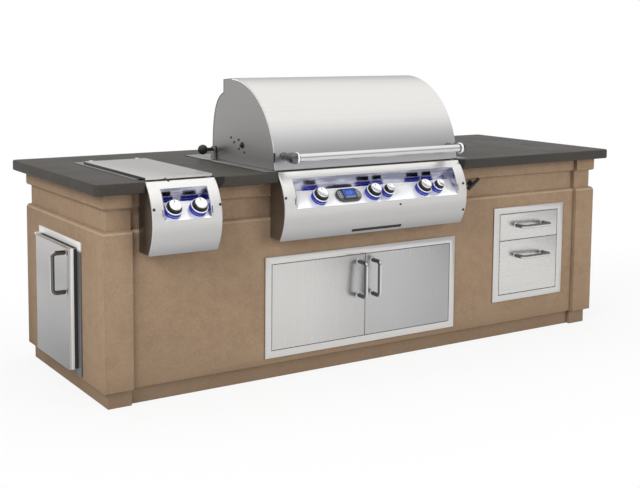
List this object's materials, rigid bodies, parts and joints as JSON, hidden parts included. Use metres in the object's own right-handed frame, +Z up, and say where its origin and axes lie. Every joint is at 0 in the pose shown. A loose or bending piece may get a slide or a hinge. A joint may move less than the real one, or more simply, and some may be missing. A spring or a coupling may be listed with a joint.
{
  "type": "outdoor kitchen island",
  "caption": "Outdoor kitchen island of cast panels with a stone top, built-in hooded gas grill, side burner, access doors, drawers and refrigerator.",
  "frame": {"origin": "on the floor, under the middle of the whole object's box", "axes": "+X along the front from the refrigerator end, +Y from the front to the back, +Z up"},
  "size_m": [2.8838, 1.0846, 1.296],
  "materials": {
    "cast_panel": "sandy cast concrete, matt",
    "counter_stone": "honed dark stone",
    "backer_board": "raw cement board",
    "stainless": "brushed along the width",
    "polished_steel": "polished",
    "cast_iron": "seasoned, matt",
    "black_plastic": "satin black",
    "pod_plastic": "silver lacquer with a dark display"
  },
  "bodies": {
    "root": {"left_end_panel": "cast_panel", "right_end_panel": "cast_panel", "front_wall": "cast_panel", "back_wall": "cast_panel", "countertop": "counter_stone", "left_bulkhead": "backer_board", "right_bulkhead": "backer_board", "firebox": "stainless", "burner_left": "cast_iron", "burner_middle": "cast_iron", "burner_right": "cast_iron", "heat_plate_left": "stainless", "heat_plate_middle": "stainless", "heat_plate_right": "stainless", "cooking_grid_left": "stainless", "cooking_grid_middle": "stainless", "cooking_grid_right": "stainless", "rear_burner": "stainless", "warming_rack": "polished_steel", "hinge_rod": "black_plastic", "control_panel": "stainless", "control_bezel": "polished_steel", "display_pod": "pod_plastic", "side_burner_tub": "stainless", "side_burner_front": "cast_iron", "side_burner_back": "cast_iron", "side_grate_front": "cast_iron", "side_grate_back": "cast_iron", "side_control_panel": "stainless", "side_bezel": "polished_steel", "door_frame": "stainless", "drawer_cabinet": "stainless", "fridge_cabinet": "stainless", "fridge_shelf": "polished_steel", "gas_plate": "polished_steel"},
    "hood": {"hood": "stainless", "hood_handle": "polished_steel"},
    "side_lid": {"side_burner_lid": "stainless"},
    "tray": {"drip_tray": "stainless"},
    "knob_1": {"knob_1": "polished_steel"},
    "knob_2": {"knob_2": "polished_steel"},
    "knob_3": {"knob_3": "polished_steel"},
    "knob_4": {"knob_4": "polished_steel"},
    "knob_5": {"knob_5": "polished_steel"},
    "side_knob_left": {"side_knob_left": "polished_steel"},
    "side_knob_right": {"side_knob_right": "polished_steel"},
    "display_button_left": {"display_button_left": "pod_plastic"},
    "display_button_right": {"display_button_right": "pod_plastic"},
    "light_button": {"light_button": "black_plastic"},
    "left_door": {"access_door_left": "stainless", "access_handle_left": "polished_steel"},
    "right_door": {"access_door_right": "stainless", "access_handle_right": "polished_steel"},
    "lower_drawer": {"drawer_lower": "stainless", "drawer_handle_lower": "polished_steel"},
    "upper_drawer": {"drawer_upper": "stainless", "drawer_handle_upper": "polished_steel"},
    "fridge_door": {"fridge_door": "stainless", "fridge_handle": "polished_steel"},
    "gas_key": {"gas_key": "cast_iron"}
  },
  "joints": [
    {"name": "hood_hinge", "type": "hinge", "parent": "root", "child": "hood", "pos_m": [-0.0601, 0.11226, 0.962], "axis": [-1, 0, 0], "range_deg": [0, 80]},
    {"name": "side_lid_hinge", "type": "hinge", "parent": "root", "child": "side_lid", "pos_m": [-1.0136, 0.21726, 0.9229], "axis": [-1, 0, 0], "range_deg": [0, 95]},
    {"name": "tray_slide", "type": "slide", "parent": "root", "child": "tray", "axis": [0, -1, 0], "range_m": [0, 0.25]},
    {"name": "knob_1_turn", "type": "hinge", "parent": "root", "child": "knob_1", "pos_m": [-0.3701, -0.48085, 0.79135], "axis": [0, -0.7071, 0.7071], "range_deg": [0, 225]},
    {"name": "knob_2_turn", "type": "hinge", "parent": "root", "child": "knob_2", "pos_m": [-0.0871, -0.48085, 0.79135], "axis": [0, -0.7071, 0.7071], "range_deg": [0, 225]},
    {"name": "knob_3_turn", "type": "hinge", "parent": "root", "child": "knob_3", "pos_m": [-0.0081, -0.48085, 0.79135], "axis": [0, -0.7071, 0.7071], "range_deg": [0, 225]},
    {"name": "knob_4_turn", "type": "hinge", "parent": "root", "child": "knob_4", "pos_m": [0.1949, -0.48085, 0.79135], "axis": [0, -0.7071, 0.7071], "range_deg": [0, 225]},
    {"name": "knob_5_turn", "type": "hinge", "parent": "root", "child": "knob_5", "pos_m": [0.2779, -0.48085, 0.79135], "axis": [0, -0.7071, 0.7071], "range_deg": [0, 225]},
    {"name": "side_knob_left_turn", "type": "hinge", "parent": "root", "child": "side_knob_left", "pos_m": [-1.0701, -0.49085, 0.79135], "axis": [0, -0.7071, 0.7071], "range_deg": [0, 225]},
    {"name": "side_knob_right_turn", "type": "hinge", "parent": "root", "child": "side_knob_right", "pos_m": [-0.9571, -0.49085, 0.79135], "axis": [0, -0.7071, 0.7071], "range_deg": [0, 225]},
    {"name": "display_button_left_press", "type": "slide", "parent": "root", "child": "display_button_left", "axis": [0, 0.7071, -0.7071], "range_m": [0, 0.0015], "stiffness_N_per_m": 300},
    {"name": "display_button_right_press", "type": "slide", "parent": "root", "child": "display_button_right", "axis": [0, 0.7071, -0.7071], "range_m": [0, 0.0015], "stiffness_N_per_m": 300},
    {"name": "light_button_press", "type": "slide", "parent": "root", "child": "light_button", "axis": [0, 1, 0], "range_m": [0, 0.0015], "stiffness_N_per_m": 300},
    {"name": "left_door_hinge", "type": "hinge", "parent": "root", "child": "left_door", "pos_m": [-0.5451, -0.39274, 0.3185], "axis": [0, 0, -1], "range_deg": [0, 105]},
    {"name": "right_door_hinge", "type": "hinge", "parent": "root", "child": "right_door", "pos_m": [0.4289, -0.39274, 0.3185], "axis": [0, 0, 1], "range_deg": [0, 105]},
    {"name": "lower_drawer_slide", "type": "slide", "parent": "root", "child": "lower_drawer", "axis": [0, -1, 0], "range_m": [0, 0.38]},
    {"name": "upper_drawer_slide", "type": "slide", "parent": "root", "child": "upper_drawer", "axis": [0, -1, 0], "range_m": [0, 0.38]},
    {"name": "fridge_door_hinge", "type": "hinge", "parent": "root", "child": "fridge_door", "pos_m": [-1.3614, 0.25926, 0.362], "axis": [0, 0, -1], "range_deg": [0, 110]},
    {"name": "gas_key_turn", "type": "hinge", "parent": "root", "child": "gas_key", "pos_m": [0.57296, -0.39337, 0.784], "axis": [0, -1, 0], "range_deg": [0, 90]}
  ]
}
